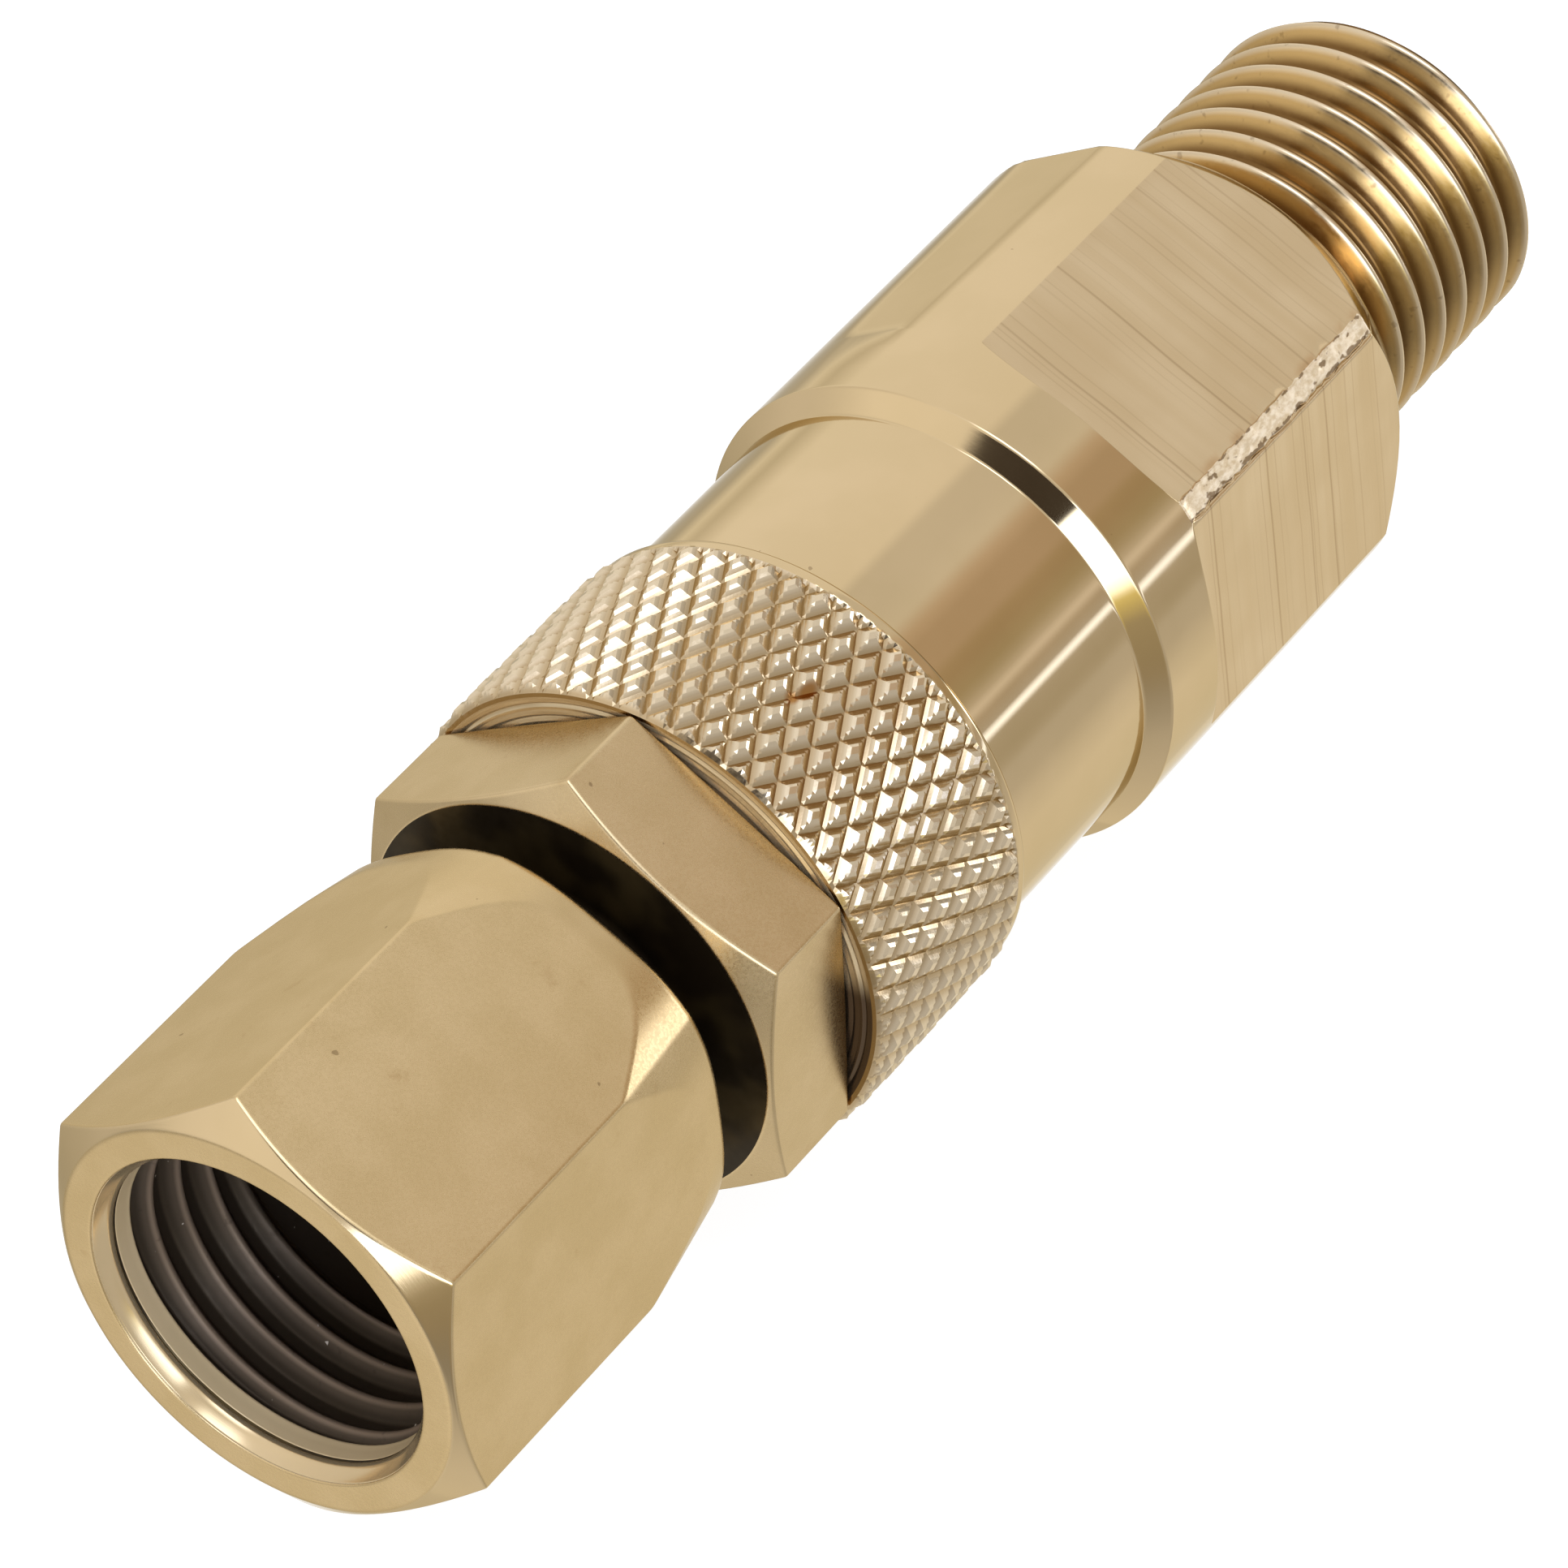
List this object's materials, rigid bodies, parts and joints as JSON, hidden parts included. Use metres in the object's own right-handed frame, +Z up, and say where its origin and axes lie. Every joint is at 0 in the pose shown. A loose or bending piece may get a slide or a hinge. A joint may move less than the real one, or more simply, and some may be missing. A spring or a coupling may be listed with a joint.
{
  "type": "swivel joint",
  "caption": "In-line hose swivel with a loose hex union nut, a thin wrench hex, a knurled collar and a flatted barrel body ending in a male thread.",
  "frame": {"origin": "on the surface the swivel lies on, below the middle of its length and width", "axes": "+X along the swivel's axis from the union nut to the male thread, +Z up from the surface it lies on"},
  "size_m": [0.0704, 0.0192, 0.0192],
  "materials": {
    "satin_nickel": "satin warm nickel plate with a fine grain",
    "bright_nickel": "smooth warm nickel plate, machined flats and a sharp diamond knurl",
    "bearing_steel": "polished",
    "bronze": "turned",
    "nitrile": "matte",
    "ptfe": "matte"
  },
  "bodies": {
    "body": {"body": "bright_nickel", "knurled_collar": "bright_nickel", "wiper_ring": "nitrile", "front_race": "bearing_steel", "rear_thrust_washer": "bronze"},
    "spindle": {"spindle": "satin_nickel", "backup_ring_1": "ptfe", "backup_ring_2": "ptfe", "o_ring_1": "nitrile", "o_ring_2": "nitrile"},
    "ball_set": {"ball_01": "bearing_steel", "ball_02": "bearing_steel", "ball_03": "bearing_steel", "ball_04": "bearing_steel", "ball_05": "bearing_steel", "ball_06": "bearing_steel", "ball_07": "bearing_steel", "ball_08": "bearing_steel", "ball_09": "bearing_steel", "ball_10": "bearing_steel", "ball_11": "bearing_steel", "ball_12": "bearing_steel", "ball_13": "bearing_steel", "ball_14": "bearing_steel", "ball_15": "bearing_steel", "ball_16": "bearing_steel"},
    "slip_ring": {"slip_ring": "bronze"},
    "nut": {"swivel_nut": "satin_nickel"}
  },
  "joints": [
    {"name": "spindle_spin", "type": "hinge", "parent": "body", "child": "spindle", "pos_m": [0, 0, 0.0096], "axis": [1, 0, 0], "continuous": true},
    {"name": "ball_orbit", "type": "hinge", "parent": "body", "child": "ball_set", "pos_m": [0, 0, 0.0096], "axis": [1, 0, 0], "continuous": true},
    {"name": "nut_slide", "type": "slide", "parent": "spindle", "child": "slip_ring", "axis": [1, 0, 0], "range_m": [0, 0.0019]},
    {"name": "nut_spin", "type": "hinge", "parent": "slip_ring", "child": "nut", "pos_m": [0, 0, 0.0096], "axis": [1, 0, 0], "continuous": true}
  ],
  "couplings": [
    {"joint": "ball_orbit", "follows": "spindle_spin", "ratio": 0.5}
  ]
}
